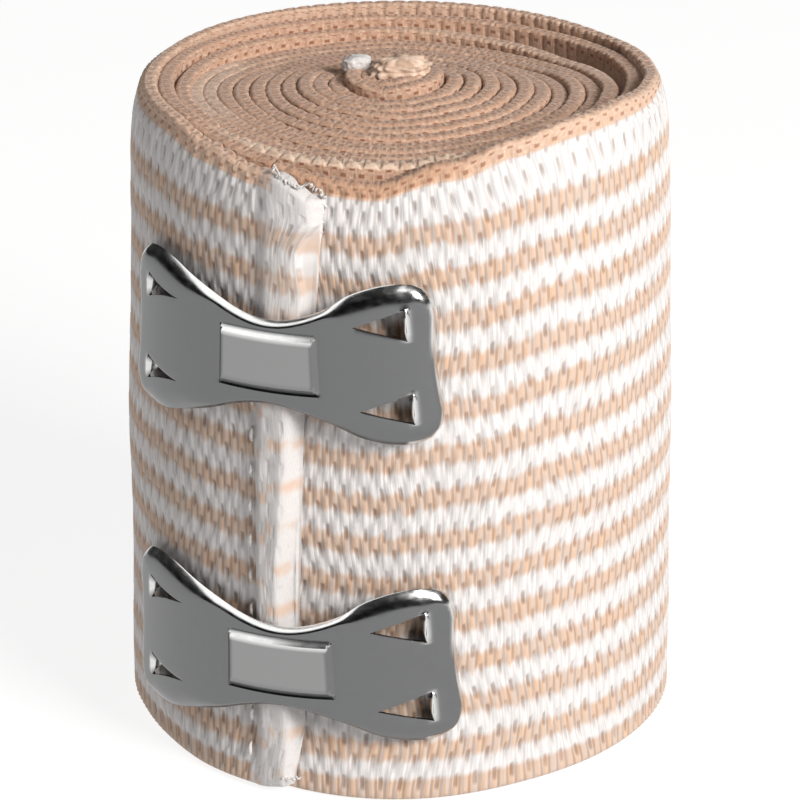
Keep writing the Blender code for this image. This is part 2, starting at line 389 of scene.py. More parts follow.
def grid_object(name, columns, rows, points, wales, bands):
    """A grid with its points moved, its long seam welded and its ends closed."""
    bm = bmesh.new()
    bmesh.ops.create_grid(bm, x_segments=columns - 1, y_segments=rows - 1, size=0.5, calc_uvs=True)
    mesh = bpy.data.meshes.new(name)
    bm.to_mesh(mesh)
    bm.free()
    flat = np.empty(len(mesh.vertices) * 3, dtype=np.float32)
    mesh.vertices.foreach_get("co", flat)
    flat = flat.reshape(-1, 3)
    column = np.rint((flat[:, 0] + 0.5) * (columns - 1)).astype(int)
    row = np.rint((flat[:, 1] + 0.5) * (rows - 1)).astype(int)
    mesh.vertices.foreach_set("co", points[column, row].astype(np.float32).ravel())
    corner = np.empty(len(mesh.loops), dtype=np.int32)
    mesh.loops.foreach_get("vertex_index", corner)
    weave = np.stack((wales[column, row], bands[column, row]), axis=-1)[corner]
    layer = mesh.uv_layers[0] if mesh.uv_layers else mesh.uv_layers.new()
    layer.name = "weave"
    layer.data.foreach_set("uv", weave.astype(np.float32).ravel())
    bm = bmesh.new()
    bm.from_mesh(mesh)
    bmesh.ops.remove_doubles(bm, verts=bm.verts[:], dist=0.002 * MM)
    ends = [edge for edge in bm.edges if edge.is_boundary]
    bmesh.ops.holes_fill(bm, edges=ends)
    bmesh.ops.recalc_face_normals(bm, faces=bm.faces[:])
    return finish_mesh(name, bm, mesh)


# %% Selvedges with their beads, and one stretch of the strip
BEAD = 0.3
PLY_GROOVE = 0.3
BEAD_AT_FRONT = 0.45
CREST_AT_FRONT = 0.7
FRONT_WAY = -345
FRONT_REACH = 70
FOOT_ROUND = 0.5 * MM


def add_strip(name, ways, section, thickness, relief, crest, hem_from=None, shape=None):
    """One stretch of the strip. relief is a share, crest the height of its bead in metres."""
    share, depth, rise = section
    way, share = np.meshgrid(ways, share, indexing="ij")
    depth = np.broadcast_to(depth, way.shape)
    rise = np.broadcast_to(rise, way.shape)
    angle = FREE_EDGE_ANGLE + way
    wales = length_along(way) / WALE
    bands = share * BANDS
    way = way + np.degrees(lean(wales, bands, from_front(angle)) * relief / MEAN_RADIUS)
    height = band_height(way, angle, share)
    front = bump(way, FRONT_WAY, FRONT_REACH)
    beads = BEAD + BEAD_AT_FRONT * front
    ply = 0.5 * np.cos(math.pi * np.clip(depth * 1.6 - 0.3, 0.0, 1.0))
    groove = PLY_GROOVE * np.exp(-(((depth - 0.5) / 0.14) ** 2))
    rise = rise * np.where(rise > 0, 1.0 - groove, 1.0)
    bead = smooth(np.abs(np.cos(math.pi * (wales + 0.25 - ply * 0.5))) * 1.5)
    crest = crest * (1.0 + CREST_AT_FRONT * front)
    beaded = crest * (1.0 - beads + beads * bead)
    height = height + rise * np.where(rise > 0, beaded, FOOT_ROUND)
    height = height - crest * share * (rise >= 0)
    thick = thickness * (1.0 + 0.5 * beads * (bead - 0.6) * (share > 0.97))
    radius = turn_radius(way, angle, height) - depth * thick
    face = (depth < 0.01) & (rise == 0)
    if hem_from is not None:
        relief = relief * (1.0 - 0.8 * smooth((wales - hem_from) / 0.4))
    radius = radius + np.where(face, crepe_relief(wales, bands) * relief, 0.0)
    if shape is not None:
        way, radius, height = shape(way, radius, height, share, depth)
    points = place(way, radius, np.maximum(height, 0.02 * MM))
    bands = np.where(rise > 0, BANDS + depth * 0.3, bands)
    return grid_object(name, len(ways), way.shape[1], points, wales, bands)


# %% [markdown]
# ## The turns inside
# Only their edges show, but each turn is there from the foot to the rim, so light falls
# between them as it does on the real roll. Six stations to the wale are enough for beads, with
# more along the front of the second turn, where they show as a row of cream blocks.

# %% Wound turns
CREST = 0.75 * MM
INNER_CREST = 0.45 * MM
INNER_RELIEF = 0.3
LAST_INNER_WAY = -10
inner_ways = np.concatenate(
    (
        ways_between(-360 * INNER_TURNS, -430, 6),
        ways_between(-430, -262, 11)[1:],
        ways_between(-262, LAST_INNER_WAY, 6)[1:],
    )
)
inner_section = strip_section(8, 6, 7, 2)
wound_turns = add_strip(
    "wound_turns", inner_ways, inner_section, INNER_THICKNESS, INNER_RELIEF, INNER_CREST
)

# %% [markdown]
# ## The outer turn
# This is the cloth that everyone sees: the full relief, eight stations to the wale.

# %% Outer turn
outer_ways = ways_between(LAST_INNER_WAY, LOOSE_FROM_WAY, 8)
face_section = strip_section(134, 5, 5, 4)
outer_turn = add_strip("outer_turn", outer_ways, face_section, CLOTH_THICKNESS, 1.0, CREST)

# %% [markdown]
# ## The loose end
# The last quarter turn lies over the roll and ends in a narrow hem. The cloth is turned back
# on itself there, so it stands up in a smooth double ridge about 6 mm wide.

# %% Loose end with its hem
HEM_WIDTH = 5.9 * MM
HEM_RISE = 1.25 * MM
# columns: height in millimetres, how much of the ridge stands up there
HEM_RIDGE = ((0, 0.0), (9, 0.8), (40, 1.0), (52, 0.9), (62, 0.4), (76, 0.3))
# columns: share of the strip's width, angle of the free edge in degrees
FREE_EDGE = (
    (0.0, -23.2),
    (0.12, -22.0),
    (0.33, -24.0),
    (0.5, -22.3),
    (0.66, -20.7),
    (0.8, -19.4),
    (0.87, -20.4),
    (0.93, -17.3),
    (1.0, -17.1),
)
CORNER_DROP = 2.4 * MM
HEM_FOOT_LIFT = 0.35 * MM
HEM_FOOT_RUN = 9 * MM
# how far the free edge is pressed down, as shares of the thickness, outside and inside
PRESSED_OUTSIDE = 0.8
PRESSED_INSIDE = 0.24
hem_start = length_along(360) / WALE - HEM_WIDTH / WALE


def hem_shape(way, radius, height, share, depth):
    """Draw the last columns out to the free edge and raise the hem's ridge on them."""
    wales = length_along(way) / WALE
    within = np.clip((wales - hem_start) * WALE / HEM_WIDTH, 0.0, 1.0)
    edge = read_table(FREE_EDGE, share) - FREE_EDGE_ANGLE
    way = way + edge * within
    ridge = smooth(within / 0.3) * smooth((1.0 - within) / 0.28)
    ridge = ridge * read_table(HEM_RIDGE, height / MM) - 0.07 * bump(within, 0.06, 0.1)
    swell = 1.0 + 0.22 * drift(share * 17, within * 2, 21)
    swell = swell + 0.1 * drift(share * 41, within * 3, 22)
    radius = radius + (1.0 - depth) * HEM_RISE * ridge * swell
    pressed = smooth((within - 0.84) / 0.16) * CLOTH_THICKNESS
    radius = radius - (PRESSED_OUTSIDE * (1.0 - depth) + PRESSED_INSIDE * depth) * pressed
    angle = FREE_EDGE_ANGLE + way
    drop = CORNER_DROP * smooth((angle - 360 + 27) / 10) * smooth((share - 0.9) / 0.1)
    before = (wales - hem_start) * WALE / HEM_FOOT_RUN + 1.0
    lift = HEM_FOOT_LIFT * (smooth(before) + 1.9 * smooth((within - 0.2) / 0.8))
    lift = lift * (1.0 - smooth(share / 0.12))
    return way, radius, height - drop + lift


loose_ways = ways_between(LOOSE_FROM_WAY, 360, 9)
loose_end = add_strip(
    "loose_cloth", loose_ways, face_section, CLOTH_THICKNESS, 1.0, CREST, hem_start, hem_shape
)

# %% [markdown]
# ## Crepe cloth as a material
# The pattern reads the strip's own map, counted in wales and bands, so it follows the cloth
# round the roll. Stripes, furrows and fibres are worked out from it, with no picture. Sums
# made of nodes are long to write, so a few helpers carry them. Each adds its node to the tree
# that the values it is given belong to.


# %% Node helpers
def add_node(kind, *values):
    """A new node in the tree of the first node output among the values."""
    tree = next(value.id_data for value in values if isinstance(value, bpy.types.NodeSocket))
    return tree.nodes.new(kind)


def feed(socket, value):
    """Set an input to a number or a colour, or link it to another node's output."""
    if isinstance(value, bpy.types.NodeSocket):
        socket.id_data.links.new(value, socket)
    elif isinstance(value, tuple):
        socket.default_value = (*value, 1.0)
    else:
        socket.default_value = value


def calc(operation, *values):
    """One math node. Each value is a number or another node's output."""
    node = add_node("ShaderNodeMath", *values)
    node.operation = operation
    for socket, value in zip(node.inputs, values):
        feed(socket, value)
    return node.outputs[0]


def times(first, second):
    """The product of two values."""
    return calc("MULTIPLY", first, second)


def past_line(value, first, half_gap=0.5):
    """How far a value lies past the nearest of many evenly spaced lines."""
    return calc("WRAP", calc("SUBTRACT", value, first), half_gap, -half_gap)


def off_line(value, first, half_gap=0.5):
    """The distance to the nearest of many evenly spaced lines."""
    return calc("ABSOLUTE", past_line(value, first, half_gap))


def away_from(value, middle):
    """The distance to one line."""
    return calc("ABSOLUTE", calc("SUBTRACT", value, middle))


def fade(value, start, end, low=0.0, high=1.0):
    """A smooth ramp from low to high as the value goes from start to end."""
    node = add_node("ShaderNodeMapRange", value)
    node.interpolation_type = "SMOOTHSTEP"
    settings = {"Value": value, "From Min": start, "From Max": end, "To Min": low, "To Max": high}
    for name, setting in settings.items():
        feed(node.inputs[name], setting)
    return node.outputs["Result"]


def fade_off(value, start, end, high=1.0):
    """A smooth ramp down to nothing as the value goes from start to end."""
    return fade(value, start, end, high, 0.0)


# %% Colour, noise and bump helpers
def blend_colour(share, first, second, kind="MIX"):
    """Mix two colours, each an RGB triple or a node's output."""
    node = add_node("ShaderNodeMix", share, first, second)
    node.data_type = "RGBA"
    node.blend_type = kind
    values = {"Factor_Float": share, "A_Color": first, "B_Color": second}
    for socket in node.inputs:
        if socket.identifier in values:
            feed(socket, values[socket.identifier])
    return next(socket for socket in node.outputs if socket.identifier == "Result_Color")


def darken(colour, shade, share=1.0):
    """Multiply a colour by a shade, by the share given."""
    return blend_colour(share, colour, shade, "MULTIPLY")


def noise_at(vector, detail):
    """Noise between 0 and 1, one grain to each unit of the vector."""
    node = add_node("ShaderNodeTexNoise", vector)
    node.inputs["Scale"].default_value = 1.0
    node.inputs["Detail"].default_value = detail
    feed(node.inputs["Vector"], vector)
    return node.outputs["Fac"]


def noise(across, up, across_scale, up_scale, detail=2.0):
    """Noise over the strip's map, stretched by its two scales."""
    combine = add_node("ShaderNodeCombineXYZ", across)
    feed(combine.inputs[0], times(across, across_scale))
    feed(combine.inputs[1], times(up, up_scale))
    return noise_at(combine.outputs[0], detail)


def object_grain(tree, grains, detail):
    """Noise in the piece's own space, with so many grains to the metre along each axis."""
    where = tree.nodes.new("ShaderNodeTexCoord")
    mapping = tree.nodes.new("ShaderNodeMapping")
    mapping.inputs["Scale"].default_value = grains
    feed(mapping.inputs["Vector"], where.outputs["Object"])
    return noise_at(mapping.outputs["Vector"], detail)


def add_bump(shader, height, strength, distance):
    """Let a height, which stands for so many metres, shade the surface."""
    node = add_node("ShaderNodeBump", height)
    for name, value in (("Strength", strength), ("Distance", distance), ("Height", height)):
        feed(node.inputs[name], value)
    feed(shader.inputs["Normal"], node.outputs["Normal"])


def new_material(name):
    """A material with a bare Principled shader."""
    made = bpy.data.materials.new(name)
    made.use_nodes = True
    return made, made.node_tree, made.node_tree.nodes["Principled BSDF"]


# %% [markdown]
# Peach yarn and white yarn take turns from band to band. The furrows get a little painted shade
# in the colour, to help the relief, and so do the valleys between ribs. Places are in bands up the
# strip or in wales along it.

# %% Stripes and furrows of the crepe
WHITE_YARN = (0.63, 0.60, 0.59)
PEACH_YARN = (0.53, 0.35, 0.24)
FURROW_SHADE = (0.42, 0.33, 0.28)
STRIPE_WOBBLE = 0.42
STRIPE_FADE = (0.13, 0.33)
FOOT_STRIPE = (0.45, 0.62)
SELVEDGE = (0.44, 0.32)
INNER_SELVEDGE = (2.0, 1.9)
FURROW_SHARE = 0.72
# painted shade in the valleys between ribs, and how much more of it peach yarn gets
VALLEY_SHADE_LEVEL = 0.88
PEACH_VALLEY_SHADE = 1.7


def peach_share(wales, bands, selvedge):
    """Where the yarn is peach: in wavering stripes below the split, and in the selvedge."""
    wobble = calc("SUBTRACT", noise(wales, bands, 3.2, 0.9), 0.5)
    shifted = calc("ADD", bands, times(wobble, STRIPE_WOBBLE))
    stripe = fade_off(off_line(shifted, BAND_START), *STRIPE_FADE)
    stripe = calc("MAXIMUM", stripe, fade_off(bands, *FOOT_STRIPE))
    striped = fade_off(bands, SPLIT_BANDS - 0.02, SPLIT_BANDS + 0.05)
    return calc("MAXIMUM", times(stripe, striped), selvedge)


def furrow_share(wales, bands, beside, between):
    """Where the furrows lie: one row above each peach band and one below, like bricks."""
    within = past_line(bands, BAND_START)
    upper = times(fade(within, 0.04, 0.15), fade(within, 0.46, 0.33))
    upper = times(fade_off(beside, 0.04, 0.17), upper)
    lower = times(fade(within, -0.55, -0.22), fade(within, -0.03, -0.13))
    lower = times(fade_off(between, 0.04, 0.17), lower)
    patchy = fade(noise(wales, bands, 1.1, 1.3), 0.3, 0.6, 0.55, 1.0)
    return times(calc("MAXIMUM", upper, lower), patchy)


def painted_valley_shade(valley, cover):
    """Painted shade in the valleys between ribs, stronger in peach yarn."""
    tone = fade(valley, 0.03, 0.12, VALLEY_SHADE_LEVEL, 1.0)
    deeper = calc("ADD", 1.0, times(cover, PEACH_VALLEY_SHADE))
    return calc("SUBTRACT", 1.0, times(calc("SUBTRACT", 1.0, tone), deeper))


# %% [markdown]
# The selvedge is denser than the cloth: two rows of small dark squares lie below the crest,
# painted shade between its loops, and a row of dots of painted shade lies on it, where its plies
# part, among scattered dots of painted shade. Some stretches of the inner turns' crests carry a
# painted highlight, and one stretch of the outer turn's edge carries a painted shade.

# %% Selvedge of the crepe
CREAM_BEAD = (0.60, 0.46, 0.36)
EDGE_PEACH = (0.50, 0.33, 0.235)
# a darker, more saturated copy of the edge peach for the inner turns: painted shade inside the
# roll
SHADED_INNER_PEACH = (0.43, 0.252, 0.165)
EDGE_SHADE = (0.42, 0.23, 0.14)
# painted highlight on stretches of the inner turns' crests
CREST_HIGHLIGHT = (0.63, 0.475, 0.36)
# painted shade: dark dots scattered over the crest
CREST_DOT_SHADE = (0.30, 0.17, 0.11)
# painted shade on a stretch of the edge just right of the free edge, with its middle and reach
EDGE_STRETCH_SHADE = (0.80, 0.66, 0.55)
SHADED_STRETCH_MIDDLE = length_along(14) / WALE
SHADED_STRETCH_REACH = 9.0
UPPER_SQUARES = BANDS - 0.09
LOWER_SQUARES = BANDS - 0.25
PLY_LINE = BANDS + 0.15
# columns: middle of the stretch in wales, half its length in wales, strength
CREST_HIGHLIGHT_STRETCHES = (
    (length_along(-343) / WALE, 14, 0.95),
    (length_along(-794) / WALE, 9, 0.55),
    (length_along(-1150) / WALE, 8, 0.5),
    (length_along(-560) / WALE, 12, 0.35),
)


def selvedge_colour(colour, wales, bands, selvedge, beside, between, valley, inside):
    """The cloth's colour with its selvedge laid over it, with its painted shade and highlights."""
    edge = fade(bands, BANDS - 0.36, BANDS - 0.30)
    mottle = fade(noise(wales, bands, 5.0, 9.0), 0.4, 0.7, 0.0, 0.6)
    edge_colour = blend_colour(mottle, SHADED_INNER_PEACH if inside else EDGE_PEACH, CREAM_BEAD)
    colour = blend_colour(calc("MAXIMUM", edge, selvedge), colour, edge_colour)
    # painted shade: two rows of dark squares between the selvedge's loops, darker on the inner
    # turns
    upper_row = fade_off(away_from(bands, UPPER_SQUARES), 0.03, 0.06)
    lower_row = fade_off(away_from(bands, LOWER_SQUARES), 0.03, 0.06)
    upper_row = times(fade_off(beside, 0.10, 0.2), upper_row)
    lower_row = times(fade_off(between, 0.10, 0.2), lower_row)
    squares = times(calc("MAXIMUM", upper_row, lower_row), 0.85 if inside else 0.65)
    colour = darken(colour, EDGE_SHADE, squares)
    # painted shade: a row of dark dots in the groove where the selvedge's two plies part
    ply_line = fade_off(away_from(bands, PLY_LINE), 0.03, 0.07)
    colour = darken(colour, EDGE_SHADE, times(fade_off(valley, 0.05, 0.12, 0.75), ply_line))
    # painted shade: a stretch of the edge near way 14 is darkened
    stretch_shade = fade_off(away_from(wales, SHADED_STRETCH_MIDDLE), SHADED_STRETCH_REACH * 0.4, SHADED_STRETCH_REACH, 0.8)
    colour = darken(colour, EDGE_STRETCH_SHADE, times(stretch_shade, edge))
    # painted highlight: stretches of the inner turns' crests are lit up in the colour
    for centre, reach, strength in CREST_HIGHLIGHT_STRETCHES if inside else ():
        near = fade_off(away_from(wales, centre), reach * 0.6, reach, strength)
        near = times(near, fade(noise(wales, bands, 1.6, 6.0), 0.3, 0.55, 0.35, 1.0))
        bright = times(near, fade(bands, BANDS - 0.05, BANDS + 0.02))
        colour = blend_colour(bright, colour, CREST_HIGHLIGHT)
    # painted shade: dark dots scattered on the crest
    crest_dots = times(fade(noise(wales, bands, 2.0, 14.0), 0.45, 0.62), 0.55)
    on_crest = fade(bands, BANDS, BANDS + 0.05)
    return blend_colour(times(on_crest, crest_dots), colour, CREST_DOT_SHADE)


# %% [markdown]
# The turned hem is mostly white: the stripes end at it and only faint peach patches show.

# %% Hem of the crepe
HEM_SHADE = (0.45, 0.42, 0.41)
HEM_WHITE = (0.60, 0.58, 0.57)
HEM_PATCH_SHIFT = -0.32


def hem_colour(colour, fibre, wales, bands, hem_from):
    """The cloth's colour with the white hem laid over it from a wale onwards."""
    shifted = fade(wales, hem_from + 1.0, hem_from + 1.1)
    moved = calc("ADD", bands, times(shifted, HEM_PATCH_SHIFT))
    patch = fade_off(off_line(moved, BAND_START), 0.02, 0.24, 0.7)
    patch = times(patch, fade_off(bands, 12.5, 12.9))
    patch = times(patch, fade(noise(wales, bands, 1.3, 1.2), 0.38, 0.55))
    over = blend_colour(patch, blend_colour(fibre, HEM_SHADE, HEM_WHITE), PEACH_YARN)
    lower_part = fade(bands, 10.2, 12.2, 1.0, 0.25)
    corner = times(fade(bands, 13.5, 14.0), fade(wales, hem_from + 0.3, hem_from + 1.0))
    in_hem = fade(wales, hem_from - 0.05, hem_from + 0.1)
    return blend_colour(times(in_hem, calc("MAXIMUM", lower_part, corner)), colour, over)


# %% Crepe cloth
CREPE_BUMP = 0.55
CREPE_BUMP_DEPTH = 0.25 * MM
CREPE_SHEEN = 0.15


def crepe_material(name, hem_from=None, inside=False):
    """The cloth. hem_from is the wale at which the hem starts; inside is for inner turns."""
    made, tree, shader = new_material(name)
    uv = tree.nodes.new("ShaderNodeUVMap")
    uv.uv_map = "weave"
    split = tree.nodes.new("ShaderNodeSeparateXYZ")
    feed(split.inputs[0], uv.outputs[0])
    wales, bands = split.outputs[0], split.outputs[1]
    beside, between = off_line(wales, 0.0), off_line(wales, -0.5)
    valley = off_line(wales, -0.25, 0.25)
    streak = noise(wales, bands, 7.0, 1.1, 3.0)
    fibre = noise(wales, bands, 30.0, 9.0, 3.0)

    start, full = INNER_SELVEDGE if inside else SELVEDGE
    selvedge = fade(bands, BANDS - start, BANDS - full)
    peach = peach_share(wales, bands, selvedge)
    furrow = furrow_share(wales, bands, beside, between)
    cover = times(peach, fade(streak, 0.36, 0.62, 0.55, 1.0))
    colour = blend_colour(cover, WHITE_YARN, PEACH_YARN)
    colour = darken(colour, fade(streak, 0.25, 0.75, 0.80, 1.06))
    # painted shade between the ribs
    colour = darken(colour, painted_valley_shade(valley, cover))
    # painted shade in the furrows, over their real relief
    colour = darken(colour, FURROW_SHADE, times(furrow, FURROW_SHARE))
    colour = selvedge_colour(colour, wales, bands, selvedge, beside, between, valley, inside)
    if hem_from is not None:
        colour = hem_colour(colour, fibre, wales, bands, hem_from)

    height = calc("ADD", times(streak, 0.7), times(fibre, 0.3))
    height = calc("SUBTRACT", height, times(furrow, 0.6))
    add_bump(shader, height, CREPE_BUMP, CREPE_BUMP_DEPTH)
    feed(shader.inputs["Base Color"], colour)
    feed(shader.inputs["Roughness"], calc("ADD", 0.82, times(fibre, 0.15)))
    shader.inputs["Sheen Weight"].default_value = CREPE_SHEEN
    shader.inputs["Sheen Roughness"].default_value = 0.5
    return made


crepe = crepe_material("striped_crepe")
crepe_inside = crepe_material("inner_crepe", inside=True)
crepe_hem = crepe_material("striped_crepe_hem", hem_start)
wound_turns.data.materials.append(crepe_inside)
outer_turn.data.materials.append(crepe)
loose_end.data.materials.append(crepe_hem)
print("crepe materials:", crepe.name, crepe_inside.name, crepe_hem.name)

# %% [markdown]
# ## Stitches, frayed threads and the inner end
# A running stitch holds the hem down along its left side. Short threads have worked loose
# along the cut corner and at the foot. In the middle, the strip's inner end is crumpled into
# a small pale knot, with a white scrap of its cut edge beside it.


# %% A short thread or stitch
THREAD_SIDES = 5


def add_thread(bm, path, thickness):
    """A thread along a path, round in section and drawn to a point at both ends."""
    path = np.array(path)
    count = len(path)
    run = np.gradient(path, axis=0)
    run = run / np.linalg.norm(run, axis=1)[:, None]
    side = np.cross(run, (0.31, 0.23, 0.92))
    side = side / np.linalg.norm(side, axis=1)[:, None]
    other = np.cross(run, side)
    taper = np.sqrt(np.sin(math.pi * np.linspace(0.0, 1.0, count)).clip(0.0, 1.0))
    grid = bmesh.ops.create_grid(bm, x_segments=count - 1, y_segments=THREAD_SIDES, size=0.5)
    verts = grid["verts"]
    for vert in verts:
        ring = round((vert.co.x + 0.5) * (count - 1))
        around = 2 * math.pi * round((vert.co.y + 0.5) * THREAD_SIDES) / THREAD_SIDES
        spoke = math.cos(around) * side[ring] + math.sin(around) * other[ring]
        vert.co = path[ring] + spoke * thickness / 2 * taper[ring]
    bmesh.ops.remove_doubles(bm, verts=verts, dist=0.001 * MM)


def on_cloth(angle, height, lift):
    """A point on the outside of the loose end or the outer turn."""
    way = (angle - FREE_EDGE_ANGLE) % 360
    radius = turn_radius(way, angle, height) + lift
    return place(np.array(float(way)), radius, np.array(float(height)))


def yarn_object(name, bm, yarn):
    """Finish a batch of threads or a knot of yarn."""
    bmesh.ops.recalc_face_normals(bm, faces=bm.faces[:])
    made = finish_mesh(name, bm)
    made.data.materials.append(yarn)
    return made


# %% Pale yarn
def yarn_material(name, light, dark, scale):
    """Undyed yarn with a fine uneven tone."""
    made, tree, shader = new_material(name)
    grain = object_grain(tree, (scale, scale, scale), 4.0)
    feed(shader.inputs["Base Color"], blend_colour(fade(grain, 0.35, 0.65), dark, light))
    feed(shader.inputs["Roughness"], fade(grain, 0.3, 0.7, 0.8, 0.95))
    add_bump(shader, grain, 0.5, 0.1 * MM)
    return made


WHITE_THREAD = (0.64, 0.61, 0.595)
WHITE_THREAD_SHADE = (0.50, 0.47, 0.45)
CREAM_THREAD = (0.66, 0.50, 0.39)
CREAM_THREAD_SHADE = (0.42, 0.28, 0.20)
white_yarn = yarn_material("white_yarn", WHITE_THREAD, WHITE_THREAD_SHADE, 2500.0)
cream_yarn = yarn_material("cream_yarn", CREAM_THREAD, CREAM_THREAD_SHADE, 700.0)
print("yarns:", white_yarn.name, cream_yarn.name)

# %% Running stitch along the hem
STITCH_LENGTH = 2.0 * MM
STITCH_PITCH = 4.3 * MM
STITCH_THICKNESS = 0.48 * MM
STITCH_COUNT = 13
FIRST_STITCH = 4 * MM
THREAD_STEPS = 6
# columns: height in millimetres, angle in degrees
STITCH_ANGLES = ((0, -32.0), (30, -31.9), (45, -31.5), (60, -31.1))
bm = bmesh.new()
for count in range(STITCH_COUNT):
    low = FIRST_STITCH + count * STITCH_PITCH
    path = []
    for share in np.arange(THREAD_STEPS) / (THREAD_STEPS - 1):
        height = low + STITCH_LENGTH * share
        angle = float(read_table(STITCH_ANGLES, np.array(height / MM)))
        lift = 0.15 + 0.35 * math.sin(math.pi * share)
        path.append(on_cloth(angle, height, lift * MM))
    add_thread(bm, path, STITCH_THICKNESS)
stitches = yarn_object("hem_stitches", bm, white_yarn)

# %% Frayed threads
# columns: angle in degrees, height in millimetres
CORNER_LINE = (
    (-27.5, 75.2),
    (-25.0, 74.2),
    (-21.0, 73.4),
    (-17.0, 72.6),
    (-17.2, 70.5),
    (-18.2, 67.5),
)
FOOT_LINE = ((-24.0, 2.4), (-22.0, 2.6), (-20.6, 3.2))
# columns: where the run lies, number of threads, their reach and thickness in millimetres
FRAYED_RUNS = ((CORNER_LINE, 40, 0.8, 0.3), (FOOT_LINE, 4, 0.7, 0.3))
rng = np.random.default_rng(31)
bm = bmesh.new()
for line, number, reach, thickness in FRAYED_RUNS:
    knots = np.array(line)
    for count in range(number):
        spot = (count + rng.uniform(0.0, 1.0)) / number * (len(knots) - 1)
        angle = np.interp(spot, range(len(knots)), knots[:, 0])
        height = np.interp(spot, range(len(knots)), knots[:, 1])
        out, sink, turn = rng.uniform(0.2, 1.0), rng.uniform(-0.9, 0.3), rng.uniform(-0.4, 1.0)
        path = []
        for share in np.arange(THREAD_STEPS) / (THREAD_STEPS - 1):
            swing = angle - 1.0 + turn * 3.2 * share * reach / 1.5
            level = max(height + sink * reach * share ** 1.5, 0.3)
            lift = 0.12 + 0.2 * out * math.sin(2.4 * share)
            path.append(on_cloth(swing, level * MM, lift * MM))
        add_thread(bm, path, rng.uniform(0.8, 1.2) * thickness * MM)
frayed = yarn_object("frayed_threads", bm, white_yarn)

# %% The crumpled inner end
KNOT_MIDDLE = (0.4 * MM, 2.2 * MM, 75.5 * MM)
KNOT_HALF = (3.1 * MM, 2.1 * MM, 1.5 * MM)
SCRAP_MIDDLE = (-4.6 * MM, 4.2 * MM, 75.7 * MM)
SCRAP_HALF = (1.6 * MM, 1.2 * MM, 0.9 * MM)


def add_knot(bm, middle_point, half, subdivisions, knob, seed):
    """A crumpled lump: a ball pressed flat, with knobs where the yarns bunch up."""
    verts = bmesh.ops.create_icosphere(bm, subdivisions=subdivisions, radius=1.0)["verts"]
    points = np.array([vert.co[:] for vert in verts])
    turned = np.arctan2(points[:, 1], points[:, 0])
    lumps = drift(turned * 1.9 + 9, points[:, 2] * 2.6 + 9, seed)
    fine = np.abs(np.sin(turned * 6.5 + points[:, 2] * 3)) * np.abs(np.cos(points[:, 2] * 7))
    swell = 1.0 + knob * (lumps * 0.5 + fine * 0.6)
    points = np.sign(points) * np.abs(points) ** 0.75
    for vert, point, grow in zip(verts, points, swell):
        vert.co = [m + p * h * grow for m, p, h in zip(middle_point, point, half)]


bm = bmesh.new()
add_knot(bm, KNOT_MIDDLE, KNOT_HALF, 5, 0.32, 41)
inner_end = yarn_object("inner_end", bm, cream_yarn)
bm = bmesh.new()
add_knot(bm, SCRAP_MIDDLE, SCRAP_HALF, 4, 0.25, 42)
inner_scrap = yarn_object("inner_cut_edge", bm, white_yarn)

# %% [markdown]
# ## The clips
# Two bow-tie clips of thin pressed steel hold the loose end. Each is modelled flat: a grid
# whose lines follow the outline, the raised panel and the four windows. The window faces
# are cut out, their tongues are bent inward as teeth, and the plate is bent round the roll.

# %% Sizes of the clips
STEEL_THICKNESS = 0.4 * MM
STEEL_FACE = 0.45 * MM
WAIST_HALF = 4.9 * MM
LOBE_HALF = 9.4 * MM
END_HALF = 7.9 * MM
LOBE_AT = 0.76
CORNER_RADIUS = 2.9 * MM
END_HOLLOW = 0.9 * MM
PANEL_AT = 0.28
PANEL_SHIFT = 0.055
PANEL_HALF_HEIGHT = 3.4 * MM
PANEL_LIFT = 0.35 * MM
PANEL_RISE = 0.42 * MM
PANEL_BEVEL = 0.6 * MM
GROOVE = 0.1 * MM
GROOVE_WIDTH = 0.25 * MM
GROOVE_HALF_HEIGHT = PANEL_HALF_HEIGHT + GROOVE_WIDTH
RIM_DROP = (0.75 * MM, 1.0 * MM)
RIM_POWER = (2.0, 2.6)
RIM_AT_WAIST = 0.75 * MM
RIM_AT_LOBE = 3.0 * MM
RIM_AT_END = 1.4 * MM
CLIP_STANDOFF = 2.4 * MM
CLIP_PEAK_ANGLE = -26
CLIP_FALLS = (0.0006 * MM, 0.0014 * MM)
HINGE_REACH = 0.45 * MM
HINGE_RISE = 0.22 * MM
CLIP_SHEAR = 0.09
WINDOW_APEX = 0.53
WINDOW_BASE = 0.81
WINDOW_OFFSET = 4.9 * MM
WINDOW_HALF_BASE = 1.85 * MM
LEFT_WINDOW_SHUT = 0.6
TOOTH_LENGTH = 2.2 * MM
TOOTH_BEND = 0.45 * MM
TOOTH_TURNS = (25, 50, 80)
WORN_EDGE = 0.06 * MM
# columns: name, its solid, left end and right end in degrees, height of its middle, rise of
# its right end
CLIPS = (
    ("upper_clip", "clip_upper", -64.8, 9.4, 53.2 * MM, 1.3 * MM),
    ("lower_clip", "clip_lower", -64.8, 13.7, 16.6 * MM, 2.0 * MM),
)


def clip_outline(share):
    """Half the height of the bow tie at a share of its half length, without the end corners."""
    waist = WAIST_HALF + (LOBE_HALF - WAIST_HALF) * smooth(share / LOBE_AT)
    closed = np.clip((share - LOBE_AT) / (1.0 - LOBE_AT), 0.0, 1.0)
    return waist - (LOBE_HALF - END_HALF) * closed * closed


def rim_width(share):
    """Width of the rounded rim: narrow at the waist, broad on the lobes."""
    grown = smooth((share - 0.3) / 0.3)
    width = RIM_AT_WAIST + (RIM_AT_LOBE - RIM_AT_WAIST) * grown
    return width + (RIM_AT_END - RIM_AT_LOBE) * smooth((share - 0.78) / 0.14)


